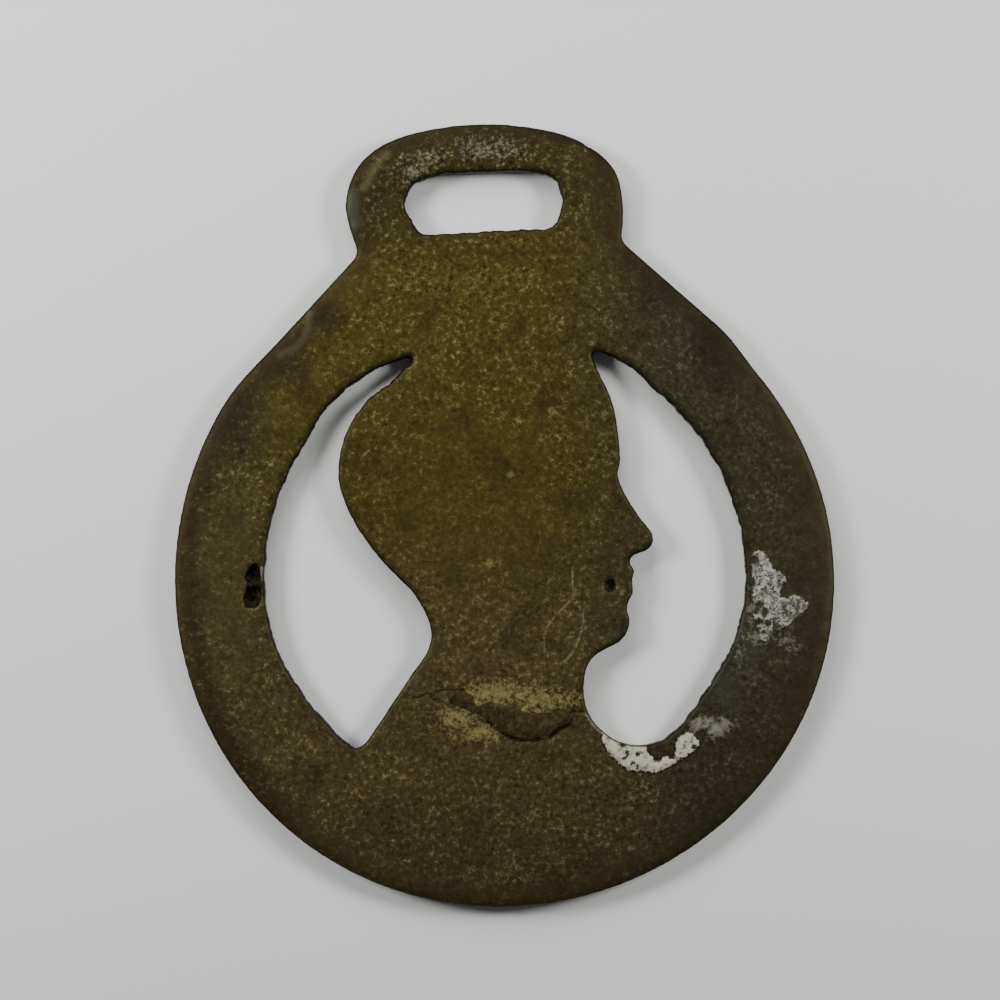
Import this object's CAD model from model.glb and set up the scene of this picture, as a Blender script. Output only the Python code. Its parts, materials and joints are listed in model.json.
import json
import math

import bpy
import numpy as np
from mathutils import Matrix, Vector, noise
from mathutils.kdtree import KDTree

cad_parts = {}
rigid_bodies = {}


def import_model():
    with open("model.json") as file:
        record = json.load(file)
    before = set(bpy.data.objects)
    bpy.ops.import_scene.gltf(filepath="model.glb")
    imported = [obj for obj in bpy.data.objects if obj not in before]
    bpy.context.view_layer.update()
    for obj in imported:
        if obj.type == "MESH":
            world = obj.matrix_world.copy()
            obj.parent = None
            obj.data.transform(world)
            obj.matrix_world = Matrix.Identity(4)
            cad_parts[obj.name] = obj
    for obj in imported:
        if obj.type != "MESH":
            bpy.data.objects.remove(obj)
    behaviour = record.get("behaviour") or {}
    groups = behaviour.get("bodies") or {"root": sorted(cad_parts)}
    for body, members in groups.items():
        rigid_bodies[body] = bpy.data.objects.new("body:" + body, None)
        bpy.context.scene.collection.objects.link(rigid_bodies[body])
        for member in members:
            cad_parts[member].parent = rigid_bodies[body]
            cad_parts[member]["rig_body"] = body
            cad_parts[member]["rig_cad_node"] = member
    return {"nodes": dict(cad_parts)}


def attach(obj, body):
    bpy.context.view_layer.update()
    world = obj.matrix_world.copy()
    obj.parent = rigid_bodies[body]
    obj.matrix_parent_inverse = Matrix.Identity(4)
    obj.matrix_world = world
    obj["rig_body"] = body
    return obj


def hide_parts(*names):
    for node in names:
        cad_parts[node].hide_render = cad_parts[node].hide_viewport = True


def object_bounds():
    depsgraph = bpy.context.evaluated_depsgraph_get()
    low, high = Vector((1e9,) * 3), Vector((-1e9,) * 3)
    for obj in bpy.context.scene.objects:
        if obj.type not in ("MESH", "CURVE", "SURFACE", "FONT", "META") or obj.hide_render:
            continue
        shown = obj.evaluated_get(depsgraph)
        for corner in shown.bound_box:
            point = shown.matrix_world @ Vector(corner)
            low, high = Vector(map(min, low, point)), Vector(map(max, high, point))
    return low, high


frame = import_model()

# A cast horse brass lying face down on a pale floor, its plain, tarnished back up.
# Work is in metres. Places on the back are given in millimetres from the middle of the whole outline.
MM = 0.001
CAD_LOW, CAD_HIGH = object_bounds()
BACK = CAD_HIGH.z
DISC_RADIUS = (CAD_HIGH.x - CAD_LOW.x) / 2
DISC_MIDDLE = (CAD_LOW.y + DISC_RADIUS) / MM  # how far up the disc's middle is, in millimetres

# The casting
WELD = 0.002 * MM  # the solid's vertices that lie nearer than this are joined
GRAIN = 0.36 * MM  # side of the small faces of the modelled surface
SMOOTH_SHARE = 0.5
SMOOTH_ROUNDS = 3
ROOM = 0.03 * (CAD_HIGH.z - CAD_LOW.z)  # how far dirt may stand above the solid's back
SUNK = 0.09 * MM  # how far the bare back lies below the solid's, so that the dirt has that room
WAVINESS = 0.07 * MM  # slow waves of a surface cast in sand
WAVE_SIZE = 7 * MM
PITTING = 0.035 * MM  # fine unevenness of the same surface
PITTING_SIZE = 1.1 * MM
RAGGED = 0.17 * MM  # how far the unfiled edges wander
RAGGED_SIZE = 1.9 * MM
NOTCHED = 0.09 * MM  # how deep the small nicks in them are
NOTCH_SIZE = 0.9 * MM
EDGE_REACH = 0.9  # how far in from a wall, in millimetres, its raggedness reaches
OUTSIDE_RAGGED = 0.12  # the share of it on the outside edge
BUST_RAGGED = 0.3  # and beside the bust
WALL_LEAN = 0.4  # the normals of a wall lean up or down by less than this
BACK_LEAN = 0.2  # and those of the back lean up by more than this
CRUST_DEPTH = 0.15 * MM
PASTE_DEPTH = 0.17 * MM
LAP_DEPTH = 0.15 * MM
CRACK_DEPTH = 0.12 * MM
DIMPLE_DEPTH = 0.3 * MM
PIT_DEPTH = 0.7 * MM
MARK_SIZE = 1.3 * MM  # lumps that make the edges of the marks uneven
FAR_OUTSIDE = -9.0  # the depth in a mark that is given to what lies far outside it, in millimetres

# The finish
BROAD_SIZE = 22 * MM
CLOUD_SIZE = 4.5 * MM
MOTTLE_SIZE = 1.0 * MM
FINE_SIZE = 0.62 * MM
DUST_SIZE = 0.34 * MM
METAL_SHARE = 0.92
SKIN_ROUGHNESS = 0.58
BUMP_STRENGTH = 0.3
BUMP_DEPTH = 0.1 * MM

# Camera, light and floor
CAMERA_HEIGHT = 420 * MM
PICTURE_WIDTH = 125.19 * MM  # what the picture takes in across, at the height of the brass's back
PICTURE_MIDDLE = (-0.09 * MM, 1.95 * MM)
PICTURE_TURN = math.radians(-3.1)
CAMERA_NEAR = 0.01
SENSOR_WIDTH = 36
FLOOR_SIDE = 3.0
FLOOR_GAP = 0.02 * MM  # how far below the brass's lowest points the floor lies
FLOOR_ROUGHNESS = 0.75
# Name, place and side in metres, and power in watts
LAMPS = [
    ("top_lamp", (-0.05, 0.2, 0.16), 0.14, 0.34),
    ("left_lamp", (-0.25, 0.1, 0.2), 0.1, 0.84),
    ("right_lamp", (0.26, 0.07, 0.2), 0.1, 0.8),
]
SKY_WHITE = (1.0, 1.0, 1.0, 1.0)
SKY_STRENGTH = 0.08


def deselect_all():
    """Leaves nothing selected, so that the next operator acts on what it is given alone."""
    if bpy.context.mode != "OBJECT":
        bpy.ops.object.mode_set(mode="OBJECT")
    bpy.ops.object.select_all(action="DESELECT")


def take_up(piece):
    """Makes one object the selected and active one."""
    deselect_all()
    piece.select_set(True)
    bpy.context.view_layer.objects.active = piece


def finish_with(piece, kind, **settings):
    """Adds one modifier to a piece and applies it."""
    take_up(piece)
    modifier = piece.modifiers.new(kind.lower(), kind)
    for name, value in settings.items():
        setattr(modifier, name, value)
    bpy.ops.object.modifier_apply(modifier=modifier.name)


def read_places(piece):
    """The vertices' places as an array of rows."""
    places = np.empty(len(piece.data.vertices) * 3)
    piece.data.vertices.foreach_get("co", places)
    return places.reshape(-1, 3)


def write_places(piece, places):
    """Moves the vertices to the places in an array of rows."""
    piece.data.vertices.foreach_set("co", places.reshape(-1))
    piece.data.update()


def read_normals(piece):
    """The vertices' normals as an array of rows."""
    normals = np.empty(len(piece.data.vertices) * 3)
    piece.data.vertices.foreach_get("normal", normals)
    return normals.reshape(-1, 3)


def keep_attribute(piece, name, values):
    """Stores one number for each vertex, for the material to read."""
    layer = piece.data.attributes.new(name, "FLOAT", "POINT")
    layer.data.foreach_set("value", np.asarray(values, dtype=np.float32))


def smooth_step(value, low, high):
    """0 where the value is at low or past it, 1 where it is at high or past it, smooth between them."""
    share = np.clip((value - low) / (high - low), 0, 1)
    return share * share * (3 - 2 * share)


def rough(places, size, seed, octaves=3):
    """Fractal noise from about -1 to 1 at each place, with lumps of the given size."""
    shift = Vector((seed * 7.31, seed * 3.17, seed * 5.93))
    return np.array(
        [noise.fractal(Vector(place) / size + shift, 0.6, 2.1, octaves) for place in places]
    )


def blob(x, y, parts):
    """How deep each point lies in a patch of ovals (x, y, half width, half height), 0 at its rim."""
    best = np.full(x.shape, FAR_OUTSIDE)
    for middle_x, middle_y, half_width, half_height in parts:
        far = np.hypot((x - middle_x) / half_width, (y - middle_y) / half_height)
        best = np.maximum(best, (1 - far) * min(half_width, half_height))
    return best


def line_distance(x, y, route):
    """Distance from each point to a line of straight runs."""
    best = np.full(x.shape, np.inf)
    for (ax, ay), (bx, by) in zip(route, route[1:]):
        run = math.hypot(bx - ax, by - ay)
        share = np.clip(((x - ax) * (bx - ax) + (y - ay) * (by - ay)) / run**2, 0, 1)
        far = np.hypot(x - ax - share * (bx - ax), y - ay - share * (by - ay))
        best = np.minimum(best, far)
    return best


def line_depth(x, y, route, half_width):
    """How deep each point lies in a line of the given half width, counted below zero outside it."""
    return half_width - line_distance(x, y, route)


def depth_inside(x, y, edge):
    """Distance from each point to a closed edge, counted below zero outside it."""
    closed = edge + edge[:1]
    inside = np.zeros(x.shape, dtype=bool)
    for (ax, ay), (bx, by) in zip(closed, closed[1:]):
        if ay != by:
            crossing = (ay > y) != (by > y)
            inside ^= crossing & (x < ax + (y - ay) * (bx - ax) / (by - ay))
    return np.where(inside, 1, -1) * line_distance(x, y, closed)


# Marks on the back, in millimetres from the middle of the outline. Edges and lines are given as points,
# and patches as ovals: x, y, half width and half height.

# Lime crust on the right of the ring, the holes in it, its thin lobe and the grey dust round it
CRUST_EDGE = [
    (30.9, -6.4), (32.0, -5.9), (33.0, -6.9), (33.6, -8.6), (34.3, -8.6), (35.1, -9.5), (35.2, -10.2),
    (34.3, -11.1), (34.1, -12.1), (35.1, -12.4), (36.0, -11.8), (36.9, -12.2), (37.7, -13.0), (37.4, -13.9),
    (35.9, -14.9), (34.5, -16.1), (33.4, -14.9), (33.3, -16.2), (32.3, -17.4), (31.7, -17.2), (31.3, -15.9),
    (30.7, -14.3), (30.9, -12.4), (30.9, -10.3), (30.8, -7.7),
]
CRUST_HOLES = [
    (31.2, -7.2, 0.8, 0.6), (31.7, -12.8, 0.8, 0.5), (32.3, -13.8, 0.5, 0.7), (31.4, -15.0, 0.8, 0.5),
    (31.0, -10.0, 0.4, 0.8), (32.6, -15.3, 0.6, 0.5), (31.1, -13.6, 0.5, 0.6), (32.0, -16.3, 0.4, 0.4),
]
CRUST_LOBE = [(36.0, -13.4, 2.1, 1.9)]
TRACES = [
    (30.4, -13.6, 0.9, 3.2), (31.0, -16.9, 2.6, 1.3), (28.9, -18.7, 0.9, 1.5), (34.6, -17.5, 1.6, 1.2),
    (35.6, -18.4, 1.1, 1.4), (33.6, -15.8, 1.2, 1.4),
]
# Grey dust between the crust and the paste
GREY_PATCH = [
    (23.2, -27.4, 1.2, 1.2), (24.2, -27.5, 1.5, 1.3), (25.3, -28.1, 1.7, 1.4), (26.4, -27.7, 1.6, 1.1),
]
# Dried paste below the right opening, the gaps in it and the thin smear that leads to it
PASTE_EDGE = [
    (10.9, -27.2), (12.0, -27.7), (12.8, -28.2), (13.9, -28.9), (15.1, -29.4), (16.4, -29.6), (16.8, -30.8),
    (17.5, -31.7), (18.1, -31.8), (18.9, -31.2), (19.9, -31.5), (20.3, -30.5), (20.4, -29.0), (21.8, -28.2),
    (22.7, -29.0), (23.3, -29.8), (22.5, -30.7), (20.6, -31.8), (18.8, -32.8), (16.8, -33.1), (14.3, -32.7),
    (12.9, -31.7), (11.8, -30.3), (11.1, -29.0),
]
PASTE_DOTS = [
    (13.6, -29.5, 0.45, 0.4), (14.1, -30.5, 0.35, 0.6), (13.7, -31.3, 0.4, 0.35), (14.7, -31.8, 0.45, 0.35),
    (15.4, -30.7, 0.4, 0.5), (22.5, -30.2, 0.5, 0.4), (15.2, -32.4, 0.3, 0.6), (12.4, -28.4, 0.6, 0.4),
]
PASTE_START = [(9.3, -25.6), (10.2, -26.7), (11.4, -28.0)]
# Two pits on the left of the ring, the pale chip beside them and the dimple in the head
PITS = [
    [(-31.9, -4.5), (-30.8, -4.3), (-30.5, -5.6), (-30.4, -6.8), (-32.2, -6.9), (-32.7, -6.2), (-32.3, -5.2)],
    [(-32.4, -7.0), (-30.5, -7.0), (-30.4, -8.3), (-30.8, -9.5), (-31.6, -10.0), (-32.7, -9.9), (-33, -8.6)],
]
PALE_CHIP = [(-30.3, -4.9), (-30.35, -6.3)]
DIMPLE = [(13.1, -9.5, 0.9, 1.2)]
# The lap below the neck, where the metal ran cold: its lump, its left end and the dark line at its foot
LAP_EDGE = [
    (-4.2, -23.8), (-3.1, -23.3), (-1.5, -23.6), (0.1, -24.1), (1.8, -24.9), (3.8, -25.1), (5.6, -24.8),
    (7.2, -24.5), (8.0, -25.2), (7.1, -26.4), (5.5, -26.9), (4.6, -28.0), (2.4, -27.9), (0.8, -28.1),
    (-0.8, -27.5), (-1.9, -26.4), (-3.1, -25.7), (-4.0, -24.8),
]
LAP_END = [
    (-8.0, -21.7), (-6.5, -21.5), (-5.0, -22.2), (-4.4, -23.6), (-3.6, -24.9), (-4.9, -24.4), (-6.3, -23.8),
    (-7.7, -23.0),
]
LAP_FOOT = [
    (-3.2, -25.7), (-1.9, -26.7), (-0.8, -27.6), (0.8, -28.2), (2.4, -28.2), (4.5, -28.1), (5.5, -27.2),
    (7.1, -26.6),
]
# Cracks beside the lap and in the paste, and fine pale scratches
CRACKS = [
    [(-10.2, -22.2), (-8.1, -23.3), (-5.7, -24.5), (-3.2, -25.7)],
    [(-12.4, -22.2), (-10.2, -21.7), (-8.5, -21.4), (-5.1, -21.6)],
    [(7.2, -25.0), (9.0, -25.1)],
    [(16.8, -30.2), (17.4, -31.5), (18.1, -31.7), (18.9, -31.0)],
    [(19.8, -31.3), (20.3, -30.3), (20.3, -29.2)],
]
HAIRLINES = [
    [
        (8.5, -7.4), (8.3, -10.6), (7.6, -11.5), (6.1, -12.8), (5.0, -14.2), (4.4, -15.6), (4.4, -16.9),
        (5.0, -18.1),
    ],
    [
        (8.4, -10.8), (9.1, -11.7), (9.5, -12.9), (9.4, -14.2), (8.9, -15.8), (8.2, -17.3), (7.2, -18.4),
        (6.2, -19.1),
    ],
    [(-18.7, 9.1), (-18.0, 8.7)],
    [(-17.1, 8.3), (-16.0, 9.1)],
]
# Metal rubbed bright beside the lap
RUBBED = [(-1.4, -22.2, 5.0, 1.5), (3.6, -23.4, 4.6, 1.3), (-6.6, -25.0, 3.0, 1.4), (-4.0, -27.0, 2.8, 1.1)]
# Areas with little pale grain
QUIET = [
    (-3.0, 2.0, 13.0, 15.0), (-34.0, -8.0, 7.0, 18.0), (36.5, -12.0, 7.0, 24.0), (-27.0, 17.0, 8.0, 12.0),
    (14.2, 40.0, 6.5, 9.5),
]
# Single pale flecks
FLECKS = [
    (7.0, 12.5, 0.9, 0.8), (1.5, 5.1, 1.3, 0.6), (2.6, 11.8, 0.8, 0.7), (-9.6, 4.1, 0.6, 0.5),
    (-1.9, -5.9, 1.7, 0.8), (-14.2, -32.0, 0.9, 0.7), (-25.4, -27.6, 0.8, 0.7), (14.3, -35.0, 0.55, 2.4),
    (15.6, -34.6, 0.45, 1.8), (2.0, -37.5, 1.0, 0.6), (8.6, -40.2, 0.6, 0.9),
]
# Darker bands on both shoulders
SHADE = [
    (-33.0, 15.0, 5.5, 9.0), (-27.0, 22.0, 6.0, 6.0), (-20.5, 26.0, 4.0, 4.0), (29.0, 20.5, 6.0, 8.0),
    (21.0, 28.0, 5.0, 5.0),
]
# A thin grey film along the ring's inner edge, beside and below the crust
VEIL = [(30.0, -17.5, 2.6, 6.0), (27.0, -23.6, 2.8, 4.2), (31.0, -10.5, 1.2, 5.0)]
# Grey specks above the slot, and yellower, coarser grain below it
SPECKLE = [
    (-0.5, 46.3, 4.0, 2.6), (2.4, 45.9, 3.2, 2.4), (4.4, 45.6, 2.6, 2.0), (-6.2, 45.2, 3.6, 2.2),
    (-8.8, 43.8, 2.4, 2.6),
]
YELLOW_GRAIN = [(-7.3, 30.2, 6.0, 2.8), (0.0, 29.4, 6.5, 2.4), (4.5, 29.8, 3.5, 2.0)]
# Sheens on the hanger's left side and the left shoulder
TAN_SHEEN = [(-11.9, 46.0), (-13.6, 44.3), (-14.9, 41.8)]
BLUE_SHEEN = [(-16.6, 40.6), (-16.4, 37.6)]
SHOULDER_SHEEN = [(-22.7, 26.4), (-22.9, 24.9), (-23.5, 23.5), (-24.7, 22.3), (-26.4, 21.6)]

# How the outline strays. A zone is where a shift sets in and where it is full, and an end is where it starts
# to fade and where it is gone, all measured from the disc's middle.
# The disc's edge wanders by waves: how many to a round, and the shares of cosine and sine
DISC_WANDER = [(1, -0.26, -0.12), (2, 0.11, -0.08), (3, 0.19, -0.1)]
DISC_ZONE = (32, 38)
DISC_END = (24, 31)
SHOULDER_SHIFT = 0.3
SHOULDER_ZONE = (24, 30)
SHOULDER_END = (42, 47)
HANGER_SHIFT = -0.12
HANGER_ZONE = (45, 48)
HANGER_TILT = 0.03
TILT_ZONE = (49, 54)
# Where the ring's inner edge lies further out than its circle: x, y, reach and how far
INNER_STRAY = [(14.5, 19.4, 8.0, 0.65), (-18.2, 16.8, 11.0, 0.75)]
STRAY_FULL = 2  # it strays in full this near to each place
STRAY_ZONE = (27.8, 29.3)

# Where the outside edge is the near one, and where the ring's inner edge is. On the hanger a box midway
# between the slot and the outside parts them: its half width and half height, and the share of it where one
# gives way to the other.
OUTSIDE_ZONE = (34.5, 36.5)
INNER_ZONE = (27, 28.5)
HANGER_FOOT = 33
SLOT_UP = 39.3
HANGER_HALVES = (14.0, 6.8)
HANGER_SHARE = (0.93, 1.02)

# The hidden front: lines cut into the raised head and bust, and the edge of the hair
FRONT_LINES = [
    [(10.9, 2.6), (12.2, 3.4), (13.6, 2.9), (12.4, 2.2), (10.9, 2.6)],  # eye
    [(10.0, 4.9), (11.6, 5.9), (14.2, 5.4)],  # brow
    [(16.9, -3.4), (15.7, -3.2), (15.4, -4.3)],  # nostril
    [(16.2, -9.6), (14.8, -9.2), (13.3, -9.5)],  # mouth
    [(4.4, -3.9), (1.9, -1.4), (1.4, 1.6), (3.2, 3.4), (5.2, 2.2), (4.6, -0.6), (4.4, -3.9)],  # ear
    [(3.4, 1.8), (3.0, -0.4), (3.9, -1.6)],  # hollow of the ear
    [(11.5, -15.6), (7.4, -13.8), (4.6, -9.6), (4.2, -5.6)],  # jaw
]
HAIR_EDGE = [
    (14.4, 12.6), (10.4, 9.2), (8.2, 4.4), (5.6, 3.6), (3.2, 4.4), (0.6, 2.6), (0.4, -2.6), (-2.8, -6.4),
    (-7.6, -12.2), (-12.0, -12.0), (-26.0, 4.0), (-20.0, 20.0), (-4.0, 23.6), (9.0, 21.6), (14.6, 17.0),
]
LOCK_WIDTH = 1.9
LOCK_BEND = 1.1
BEND_SIZE = 9 * MM
LOCK_MIDDLE = (12, -4)  # the locks run in rings round this place
HAIR_END = (28.6, 28.0)  # they stop short of the ring, this far from the disc's middle
LINE_DEPTH = 0.22 * MM


def coarse_copy(node):
    """A copy of a solid's mesh as one closed skin of small even faces."""
    piece = node.copy()
    piece.data = node.data.copy()
    piece.name = "horse_brass_casting"
    piece.data.name = piece.name
    piece.parent = None
    bpy.context.scene.collection.objects.link(piece)
    piece.data.materials.clear()
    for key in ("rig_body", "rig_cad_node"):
        del piece[key]
    take_up(piece)
    bpy.ops.object.mode_set(mode="EDIT")
    bpy.ops.mesh.select_all(action="SELECT")
    bpy.ops.mesh.remove_doubles(threshold=WELD)
    bpy.ops.object.mode_set(mode="OBJECT")
    finish_with(piece, "REMESH", mode="VOXEL", voxel_size=GRAIN, use_smooth_shade=True)
    finish_with(piece, "SMOOTH", factor=SMOOTH_SHARE, iterations=SMOOTH_ROUNDS)
    return piece


def wall_distance(places, normals):
    """Distance from each vertex to the nearest wall of an edge, seen from above, in millimetres."""
    steep = np.flatnonzero(np.abs(normals[:, 2]) < WALL_LEAN)
    tree = KDTree(len(steep))
    for i in steep:
        tree.insert((places[i, 0], places[i, 1], 0), int(i))
    tree.balance()
    found = [tree.find((x, y, 0)) for x, y, _ in places]
    return np.array([distance for _, _, distance in found]) / MM


def outer_share(x, y):
    """1 near the brass's outside edge and 0 near its openings."""
    on_disc = smooth_step(np.hypot(x, y - DISC_MIDDLE), *OUTSIDE_ZONE)
    slot_far = np.maximum(np.abs(x) / HANGER_HALVES[0], np.abs(y - SLOT_UP) / HANGER_HALVES[1])
    return np.where(y > HANGER_FOOT, smooth_step(slot_far, *HANGER_SHARE), on_disc)


def settle_outline(piece):
    """Lets the disc's edges wander and the hanger sit a little askew, as the casting's do."""
    places = read_places(piece)
    x, y = places[:, 0] / MM, places[:, 1] / MM
    up = y - DISC_MIDDLE
    angle = np.arctan2(up, x)
    from_middle = np.hypot(x, up)
    wander = sum(
        by_cosine * np.cos(times * angle) + by_sine * np.sin(times * angle)
        for times, by_cosine, by_sine in DISC_WANDER
    )
    on_disc = smooth_step(from_middle, *DISC_ZONE) * (1 - smooth_step(up, *DISC_END))
    x_shift = on_disc * wander * np.cos(angle)
    y_shift = on_disc * wander * np.sin(angle)
    for stray_x, stray_y, reach, most in INNER_STRAY:
        far = np.hypot(x - stray_x, y - stray_y)
        near = smooth_step(far, reach, STRAY_FULL) * smooth_step(from_middle, *STRAY_ZONE)
        x_shift += most * near * np.cos(angle)
        y_shift += most * near * np.sin(angle)
    x_shift += SHOULDER_SHIFT * smooth_step(up, *SHOULDER_ZONE) * (1 - smooth_step(up, *SHOULDER_END))
    x_shift += HANGER_SHIFT * smooth_step(up, *HANGER_ZONE)
    y_shift -= HANGER_TILT * x * smooth_step(up, *TILT_ZONE)
    places[:, 0] += x_shift * MM
    places[:, 1] += y_shift * MM
    write_places(piece, places)


def unfiled_share(x, y):
    """1 beside the slot and the ring's inner edge, less beside the bust and least on the outside."""
    ring_side = smooth_step(np.hypot(x, y - DISC_MIDDLE), *INNER_ZONE)
    inside = BUST_RAGGED + (1 - BUST_RAGGED) * ring_side
    return np.where(outer_share(x, y) > 0.5, OUTSIDE_RAGGED, inside)


def read_marks(places, x, y):
    """How deep each vertex lies in each mark on the back, in millimetres."""
    warp = rough(places, MARK_SIZE, seed=4)
    return {
        "crust": depth_inside(x, y, CRUST_EDGE) + 0.2 * warp,
        "holes": blob(x, y, CRUST_HOLES) + 0.1 * warp,
        "lobe": blob(x, y, CRUST_LOBE),
        "traces": blob(x, y, TRACES) + 0.4 * warp,
        "patch": blob(x, y, GREY_PATCH) + 0.35 * warp,
        "paste": depth_inside(x, y, PASTE_EDGE) + 0.2 * warp,
        "dots": blob(x, y, PASTE_DOTS),
        "start": line_depth(x, y, PASTE_START, 0.45) + 0.2 * warp,
        "pits": np.maximum(depth_inside(x, y, PITS[0]), depth_inside(x, y, PITS[1])) + 0.1 * warp,
        "dimple": blob(x, y, DIMPLE) + 0.2 * warp,
        "chip": line_depth(x, y, PALE_CHIP, 0.3),
        "lap": np.maximum(depth_inside(x, y, LAP_EDGE), depth_inside(x, y, LAP_END)) + 0.28 * warp,
        "foot": line_depth(x, y, LAP_FOOT, 0.32) + 0.15 * warp,
        "cracks": np.maximum.reduce([line_depth(x, y, route, 0.25) for route in CRACKS]) + 0.1 * warp,
        "hairline": np.maximum.reduce([line_depth(x, y, route, 0.34) for route in HAIRLINES]),
        "rubbed": blob(x, y, RUBBED),
        "quiet": blob(x, y, QUIET),
        "flecks": blob(x, y, FLECKS),
        "shade": blob(x, y, SHADE),
        "veil": blob(x, y, VEIL),
        "speckle": blob(x, y, SPECKLE),
        "yellow": blob(x, y, YELLOW_GRAIN),
        "tan": line_depth(x, y, TAN_SHEEN, 0.95) + 0.35 * warp,
        "blue": line_depth(x, y, BLUE_SHEEN, 1.6),
        "shoulder": line_depth(x, y, SHOULDER_SHEEN, 0.8) + 0.15 * warp,
    }


def cut_front(places, x, y):
    """How deep the lines of hair, ear, eye, mouth and jaw are cut into the front at each vertex."""
    lines = np.minimum.reduce([line_distance(x, y, route) for route in FRONT_LINES])
    cut = smooth_step(lines, 0.5, 0.1)
    bend = rough(places, BEND_SIZE, seed=8, octaves=2)
    from_lock_middle = np.hypot(x - LOCK_MIDDLE[0], y - LOCK_MIDDLE[1])
    locks = np.sin(2 * math.pi * (from_lock_middle / LOCK_WIDTH + LOCK_BEND * bend))
    clear_of_ring = smooth_step(np.hypot(x, y - DISC_MIDDLE), *HAIR_END)
    in_hair = smooth_step(depth_inside(x, y, HAIR_EDGE), 0.2, 0.8) * clear_of_ring
    return LINE_DEPTH * np.maximum(cut, in_hair * smooth_step(locks, -0.2, 1.0))


def weather(piece):
    """Gives the skin the marks of casting, use and dirt, and keeps their places for the material."""
    places = read_places(piece)
    normals = read_normals(piece)
    x, y = places[:, 0] / MM, places[:, 1] / MM
    back = smooth_step(normals[:, 2], 0.3, 0.8)
    edge = wall_distance(places, normals)
    marks = read_marks(places, x, y)

    waves = rough(places, WAVE_SIZE, seed=1, octaves=2)
    grain = rough(places, PITTING_SIZE, seed=2)
    lift = WAVINESS * waves + PITTING * grain - SUNK
    lift += CRUST_DEPTH * smooth_step(marks["crust"], -0.1, 0.5) * (0.6 + 0.5 * grain)
    lift += PASTE_DEPTH * smooth_step(marks["paste"], -0.05, 0.5)
    lift -= PIT_DEPTH * smooth_step(marks["pits"], -0.05, 0.5)
    lift -= DIMPLE_DEPTH * smooth_step(marks["dimple"], -0.1, 0.7)
    lift += LAP_DEPTH * smooth_step(marks["lap"], -0.1, 0.35) * (0.75 + 0.5 * grain)
    lift -= CRACK_DEPTH * smooth_step(marks["cracks"], 0, 0.25)

    # Squeezed upright, so that the edges' unevenness runs through the casting's thickness.
    wander = rough(places * (1, 1, 0.1), RAGGED_SIZE, seed=3, octaves=4)
    nicks = smooth_step(rough(places * (1, 1, 0.2), NOTCH_SIZE, seed=6, octaves=2), 0.15, 0.6)
    walls = smooth_step(EDGE_REACH - edge, 0, 0.8) * unfiled_share(x, y)
    places += normals * (1, 1, 0) * ((RAGGED * wander - NOTCHED * nicks) * walls)[:, None]
    front = smooth_step(-normals[:, 2], 0.5, 0.9)
    places[:, 2] += front * cut_front(places, x, y)
    places[:, 2] = np.clip(places[:, 2] + back * lift, 0, BACK + ROOM)
    write_places(piece, places)

    keep_attribute(piece, "wall", 1 - smooth_step(np.abs(normals[:, 2]), 0.15, 0.6))
    keep_attribute(piece, "edge", edge)
    keep_attribute(piece, "outer", outer_share(x, y))
    keep_attribute(piece, "proud", front * smooth_step(places[:, 2] / MM, 0.45, 0.1))
    for name, depth in marks.items():
        keep_attribute(piece, name, np.where(normals[:, 2] > BACK_LEAN, depth, FAR_OUTSIDE))


# Shader maths


class Number:
    """A socket that carries a number, so that a material is written as arithmetic."""

    def __init__(self, board, socket):
        self.board = board
        self.socket = socket

    def __add__(self, other):
        return self.board.maths("ADD", self, other)

    __radd__ = __add__

    def __sub__(self, other):
        return self.board.maths("SUBTRACT", self, other)

    def __rsub__(self, other):
        return self.board.maths("SUBTRACT", other, self)

    def __mul__(self, other):
        return self.board.maths("MULTIPLY", self, other)

    __rmul__ = __mul__

    def __truediv__(self, other):
        return self.board.maths("DIVIDE", self, other)


class Board:
    """The node tree of one material."""

    def __init__(self, name):
        self.material = bpy.data.materials.new(name)
        self.material.use_nodes = True
        self.tree = self.material.node_tree
        self.tree.nodes.clear()

    def node(self, kind, settings=None, inputs=None, output=0):
        """Adds a node, makes its settings, then fills or links its sockets, and returns one output."""
        made = self.tree.nodes.new("ShaderNode" + kind)
        for name, value in (settings or {}).items():
            setattr(made, name, value)
        for name, value in (inputs or {}).items():
            if isinstance(value, Number):
                self.tree.links.new(value.socket, made.inputs[name])
            else:
                made.inputs[name].default_value = value
        return Number(self, made.outputs[output])

    def surface(self, shader):
        """Makes a shader's output the material's surface."""
        end = self.tree.nodes.new("ShaderNodeOutputMaterial")
        self.tree.links.new(shader.socket, end.inputs["Surface"])

    def maths(self, operation, first, second=0.0):
        return self.node("Math", {"operation": operation}, {0: first, 1: second})

    def most(self, first, second):
        return self.maths("MAXIMUM", first, second)

    def slope(self, value, low, high):
        """The same as smooth_step, in the material."""
        inputs = {"Value": value, "From Min": low, "From Max": high}
        return self.node("MapRange", {"interpolation_type": "SMOOTHSTEP"}, inputs)

    def blend(self, first, second, share):
        """The first colour where the share is 0 and the second where it is 1."""
        # A Mix node takes its two colours at inputs 6 and 7, and gives the mixed one at output 2.
        return self.node("Mix", {"data_type": "RGBA"}, {0: share, 6: first, 7: second}, output=2)

    def attribute(self, name):
        return self.node("Attribute", {"attribute_name": name}, output="Fac")

    def places(self):
        return self.node("TexCoord", output="Object")

    def noise(self, places, size, detail, roughness=0.55):
        """Noise from 0 to 1, about 0.5 in the middle, with lumps of the given size."""
        inputs = {"Vector": places, "Scale": 1 / size, "Detail": detail, "Roughness": roughness}
        return self.node("TexNoise", inputs=inputs)


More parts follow.
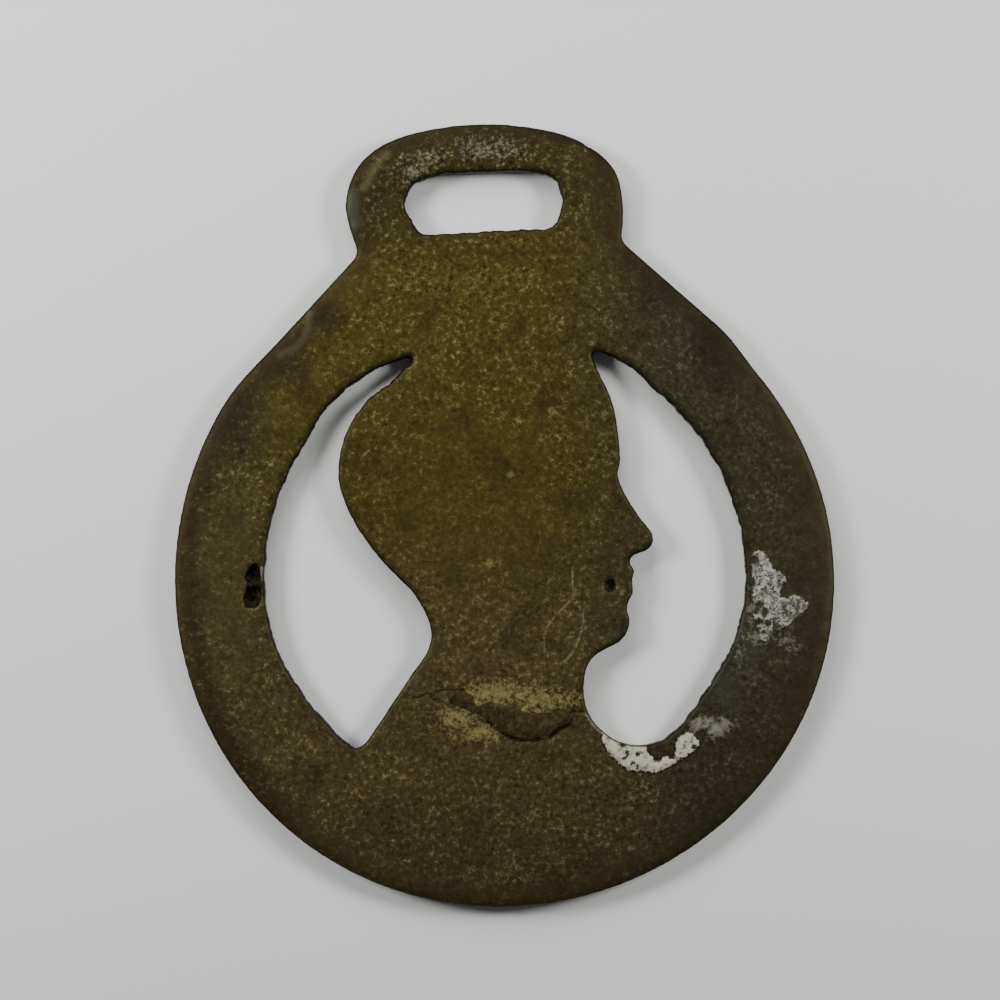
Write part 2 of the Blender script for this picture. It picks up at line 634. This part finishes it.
def colour(red, green, blue):
    """A colour given as it looks on a screen, turned into the light that a shader works in."""
    def light(share):
        return share / 12.92 if share <= 0.04045 else ((share + 0.055) / 1.055) ** 2.4

    return (light(red / 255), light(green / 255), light(blue / 255), 1.0)


# The tarnished skin in its several parts
UPPER_SKIN = colour(80, 73, 31)
LOWER_SKIN = colour(86, 77, 46)
BOTTOM_SKIN = colour(78, 68, 42)
LEFT_SKIN = colour(78, 72, 43)
RIGHT_SKIN = colour(62, 59, 42)
TOP_SKIN = colour(60, 54, 30)
TOP_LEFT_SKIN = colour(46, 43, 30)
BROWN_CLOUD = colour(58, 49, 27)
BROWN_BAND = colour(52, 41, 25)
SHOULDER_SHADE = colour(48, 44, 30)
YELLOW_SKIN = colour(98, 86, 36)
TURNED_EDGE = colour(32, 27, 16)
GREY_FILM = colour(78, 78, 67)
# Its grain, and where the metal shows
PALE_GRAIN = colour(144, 136, 90)
PALE_GRAIN_RIGHT = colour(112, 107, 82)
DARK_GRAIN = colour(28, 24, 11)
PALE_FLECK = colour(132, 124, 76)
POLISHED_METAL = colour(134, 118, 58)
RUBBED_METAL = colour(160, 149, 97)
# Marks and sheens
LAP_HOLLOW = colour(56, 49, 27)
LAP_LUMP = colour(86, 78, 48)
LAP_RIM = colour(30, 24, 12)
LAP_FOOT_DIRT = colour(22, 17, 8)
CRACK_DIRT = colour(30, 22, 10)
SCRATCH = colour(138, 130, 90)
TAN = colour(104, 98, 68)
BLUE_GREY = colour(72, 76, 62)
SHOULDER_GREY = colour(88, 83, 63)
PIT_BLACK = colour(8, 7, 4)
PIT_GRIT = colour(52, 47, 30)
CHIP = colour(150, 146, 128)
EDGE_DIRT = colour(20, 16, 9)
# Deposits
GREY_DUST = colour(132, 131, 115)
LIME_DARK = colour(74, 74, 67)
LIME_PALE = colour(164, 163, 152)
PASTE_DARK = colour(96, 94, 78)
PASTE_PALE = colour(182, 179, 158)
PASTE_FOOT_DIRT = colour(34, 25, 12)
# The floor
FLOOR_PALE = colour(234, 235, 232)


def bare_skin(board, places, fine, dust):
    """The colour of the tarnished metal with no deposit on it."""
    across = board.node("SeparateXYZ", inputs={"Vector": places}, output="X")
    upward = board.node("SeparateXYZ", inputs={"Vector": places}, output="Y")
    broad = board.noise(places, BROAD_SIZE, detail=2.0)
    cloud = board.noise(places, CLOUD_SIZE, detail=4.0, roughness=0.6)
    edge = board.attribute("edge")
    outer = board.attribute("outer")

    lower = board.slope(upward + broad * 14 * MM, 12 * MM, -10 * MM)
    right = board.slope(across + broad * 14 * MM, 12 * MM, 32 * MM)
    left = board.slope(across + broad * 8 * MM, -16 * MM, -32 * MM)
    left_side = board.slope(across + broad * 6 * MM, -4 * MM, -13 * MM)
    top = board.slope(upward + broad * 6 * MM, 33 * MM, 44 * MM)
    bottom = board.slope(upward + broad * 10 * MM, -22 * MM, -38 * MM)
    # The last value of each blend is how much of the added colour comes through.
    skin = board.blend(UPPER_SKIN, LOWER_SKIN, lower)
    skin = board.blend(skin, BOTTOM_SKIN, bottom * 0.8)
    skin = board.blend(skin, LEFT_SKIN, left * 0.8)
    skin = board.blend(skin, RIGHT_SKIN, right * 0.9)
    skin = board.blend(skin, TOP_SKIN, top * 0.7)
    skin = board.blend(skin, TOP_LEFT_SKIN, top * left_side * 0.6)
    skin = board.blend(skin, BROWN_CLOUD, board.slope(cloud, 0.5, 0.72) * 0.6)
    brown = board.slope(edge + (cloud - 0.5) * 4, 4.2, 1.6) * outer
    skin = board.blend(skin, BROWN_BAND, brown * (0.35 + left * 0.4) * (1 - bottom * 0.7))
    shade = board.slope(board.attribute("shade") + (cloud - 0.5) * 6, 0.0, 4.0)
    skin = board.blend(skin, SHOULDER_SHADE, shade * 0.7)

    quiet = board.slope(board.attribute("quiet") + (cloud - 0.5) * 8, 0.0, 6.0)
    open_grain = (board.slope(cloud, 0.62, 0.4) * 0.6 + 0.4) * (1 - board.most(quiet, shade) * 0.55)
    yellow = board.slope(board.attribute("yellow") + (cloud - 0.5) * 3, -0.4, 1.8)
    pale_grain = board.slope(fine, 0.53, 0.67) * open_grain * (1 - brown * 0.6)
    pale = board.blend(PALE_GRAIN, PALE_GRAIN_RIGHT, right)
    skin = board.blend(skin, pale, pale_grain * (0.85 + yellow * 0.8))
    skin = board.blend(skin, YELLOW_SKIN, yellow * 0.4)
    flecks = board.slope(board.attribute("flecks") + (fine - 0.5) * 3, 0.05, 0.7)
    skin = board.blend(skin, PALE_FLECK, flecks * 0.7)
    dark_grain = board.slope(fine, 0.5, 0.34) * 0.6 + board.slope(dust, 0.47, 0.3) * 0.45
    dirty = board.most(yellow, board.slope(board.attribute("speckle"), -0.5, 0.6)) * 0.5 + 0.8
    skin = board.blend(skin, DARK_GRAIN, dark_grain * dirty * (1 - brown * 0.5) * (1 - quiet * 0.25))

    turned = board.slope(edge / (1 + outer), 1.2, 0.1) * (1 - lower * outer)
    skin = board.blend(skin, TURNED_EDGE, turned * 0.5)
    veil = board.slope(board.attribute("veil") + (fine - 0.5) * 4, -0.2, 2.0)
    skin = board.blend(skin, GREY_FILM, veil * 0.4)

    polish = board.attribute("proud") * board.slope(fine, 0.3, 0.55)
    skin = board.blend(skin, POLISHED_METAL, polish * 0.6)
    rubbed = board.slope(board.attribute("rubbed") + (dust + fine - 1) * 4.5, -0.5, 1.6)
    return board.blend(skin, RUBBED_METAL, rubbed * 0.75)


def worn_marks(board, skin, fine, dust):
    """The skin's colour with its lap, cracks, scratches and sheens added."""
    lap = board.slope(board.attribute("lap"), -0.05, 0.12)
    lumps = board.slope(fine, 0.38, 0.7)
    skin = board.blend(skin, board.blend(LAP_HOLLOW, LAP_LUMP, lumps), lap)
    lap_line = board.slope(board.maths("ABSOLUTE", board.attribute("lap") + 0.02), 0.14, 0.03)
    skin = board.blend(skin, LAP_RIM, lap_line * 0.6)
    foot = board.slope(board.attribute("foot"), -0.02, 0.2)
    skin = board.blend(skin, LAP_FOOT_DIRT, foot * 0.85)
    cracks = board.slope(board.attribute("cracks") + (dust - 0.5) * 0.3, 0.02, 0.2)
    skin = board.blend(skin, CRACK_DIRT, cracks * 0.8)
    hairline = board.slope(board.attribute("hairline"), 0.12, 0.28)
    skin = board.blend(skin, SCRATCH, hairline * board.slope(dust, 0.3, 0.5) * 0.75)
    sheen = board.slope(board.attribute("tan"), 0.0, 1.2)
    skin = board.blend(skin, TAN, sheen * 0.55)
    sheen = board.slope(board.attribute("blue"), 0.0, 1.4)
    skin = board.blend(skin, BLUE_GREY, sheen * 0.5)
    sheen = board.slope(board.attribute("shoulder"), 0.0, 0.7)
    return board.blend(skin, SHOULDER_GREY, sheen * 0.45)


def grey_share(board, fine, dust):
    """How much of the skin is dusted grey: beside the crust, by the paste and on the hanger."""
    traces = board.slope(board.attribute("traces") + (fine + dust - 1.08) * 4, -0.1, 1.2) * 0.45
    patch = board.slope(board.attribute("patch") + (fine - 0.5) * 4, -0.1, 1.3) * 0.75
    speckle = board.slope(board.attribute("speckle") + (dust * 0.5 + fine * 0.5 - 0.53) * 18, 0.4, 3.4) * 0.52
    start = board.slope(board.attribute("start") + (dust - 0.5) * 0.8, 0.0, 0.3) * 0.5
    return board.most(board.most(traces, patch), board.most(speckle, start))


def crust_share(board, fine, dust):
    """How much of the skin is hidden by lime crust, which is thin and holed in its right lobe."""
    lobe = board.slope(board.attribute("lobe"), -0.1, 0.9)
    body = board.slope(board.attribute("crust") + (dust - 0.5) * 0.7, -0.05, 0.15)
    rim = board.slope(board.attribute("crust"), 0.45, 0.15)
    holes = board.slope(board.attribute("holes") + (dust - 0.5) * 0.6, 0.15, 0.0)
    pores = board.slope(dust, 0.36, 0.46)
    return body * holes * pores * (1 - lobe * (1 - rim) * board.slope(fine, 0.62, 0.36) * 0.9)


def paste_share(board, dust):
    """How much of the skin is hidden by the dried paste."""
    body = board.slope(board.attribute("paste") + (dust - 0.5) * 0.9, -0.08, 0.12)
    dots = board.slope(board.attribute("dots") + (dust - 0.5) * 0.5, 0.15, 0.0)
    return body * dots


def tarnished_brass():
    """Old brass under an olive and brown skin, with pale and dark grain, lime crust, paste and black pits."""
    board = Board("tarnished_brass")
    places = board.places()
    fine = board.noise(places, FINE_SIZE, detail=4.0, roughness=0.8)
    dust = board.noise(places, DUST_SIZE, detail=2.0, roughness=0.6)
    mottle = board.noise(places, MOTTLE_SIZE, detail=3.0, roughness=0.75)

    skin = bare_skin(board, places, fine, dust)
    skin = worn_marks(board, skin, fine, dust)
    grey = grey_share(board, fine, dust)
    crust = crust_share(board, fine, dust)
    paste = paste_share(board, dust)
    lime = board.blend(LIME_DARK, LIME_PALE, board.slope(mottle, 0.34, 0.66))
    chalk = board.blend(PASTE_DARK, PASTE_PALE, board.slope(mottle, 0.32, 0.54))
    paste_foot = board.slope(board.maths("ABSOLUTE", board.attribute("paste") + 0.12), 0.2, 0.05)
    skin = board.blend(skin, PASTE_FOOT_DIRT, paste_foot * 0.6)
    skin = board.blend(skin, GREY_DUST, grey)
    skin = board.blend(skin, lime, crust)
    skin = board.blend(skin, chalk, paste)
    skin = board.blend(skin, CHIP, board.slope(board.attribute("chip"), 0.0, 0.2) * 0.8)

    pit_field = board.most(board.attribute("pits"), board.attribute("dimple") - 0.2) + (dust - 0.5) * 0.5
    pits = board.slope(pit_field, -0.12, 0.12)
    pit_floor = board.blend(PIT_BLACK, PIT_GRIT, board.slope(fine, 0.42, 0.7))
    skin = board.blend(skin, pit_floor, pits)
    rim_line = board.most(board.slope(board.attribute("edge"), 0.22, 0.0), board.attribute("wall"))
    skin = board.blend(skin, EDGE_DIRT, rim_line * 0.9)

    dirt = board.most(board.most(grey, crust), paste)
    height = fine * 0.6 + dust * 0.4 + dirt * mottle
    bumps = board.node("Bump", inputs={"Strength": BUMP_STRENGTH, "Distance": BUMP_DEPTH, "Height": height})
    shader = board.node(
        "BsdfPrincipled",
        inputs={
            "Base Color": skin,
            "Metallic": (1 - dirt) * METAL_SHARE,
            "Roughness": SKIN_ROUGHNESS + (fine - 0.5) * 0.2 + dirt * 0.35,
            "Normal": bumps,
        },
    )
    board.surface(shader)
    return board.material


def plain(name, look, roughness):
    """A plain finish for the floor."""
    board = Board(name)
    shader = board.node("BsdfPrincipled", inputs={"Base Color": look, "Roughness": roughness})
    board.surface(shader)
    return board.material


def make_floor():
    """A wide pale floor that the brass lies on."""
    deselect_all()
    bpy.ops.mesh.primitive_plane_add(size=FLOOR_SIDE, location=(0, 0, -FLOOR_GAP))
    floor = bpy.context.object
    floor.name = "floor"
    floor.data.materials.append(plain("pale_floor", FLOOR_PALE, FLOOR_ROUGHNESS))


def make_lamp(name, place, side, power):
    """A square lamp aimed at the brass."""
    deselect_all()
    bpy.ops.object.light_add(type="AREA", location=place)
    lamp = bpy.context.object
    lamp.name = name
    lamp.data.size = side
    lamp.data.energy = power
    lamp.rotation_euler = (-Vector(place)).to_track_quat("-Z", "Y").to_euler()


def make_light():
    """Soft lamps above the top edge and to the left and right, and a dim sky."""
    for lamp in LAMPS:
        make_lamp(*lamp)
    world = bpy.data.worlds.new("sky")
    bpy.context.scene.world = world
    world.use_nodes = True
    background = world.node_tree.nodes["Background"]
    background.inputs["Color"].default_value = SKY_WHITE
    background.inputs["Strength"].default_value = SKY_STRENGTH


def make_camera():
    """Looks straight down, turned so that the brass lies a little askew."""
    deselect_all()
    place = (PICTURE_MIDDLE[0], PICTURE_MIDDLE[1], BACK + CAMERA_HEIGHT)
    bpy.ops.object.camera_add(location=place)
    camera = bpy.context.object
    camera.name = "camera"
    camera.rotation_euler = (0, 0, PICTURE_TURN)
    camera.data.sensor_width = SENSOR_WIDTH
    camera.data.lens = SENSOR_WIDTH * CAMERA_HEIGHT / PICTURE_WIDTH
    camera.data.clip_start = CAMERA_NEAR
    bpy.context.scene.camera = camera


def make_brass():
    """The whole brass, in place of its solid."""
    casting = coarse_copy(frame["nodes"]["horse_brass"])
    settle_outline(casting)
    weather(casting)
    casting.data.materials.append(tarnished_brass())
    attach(casting, "root")
    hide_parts("horse_brass")


make_brass()
make_floor()
make_light()
make_camera()
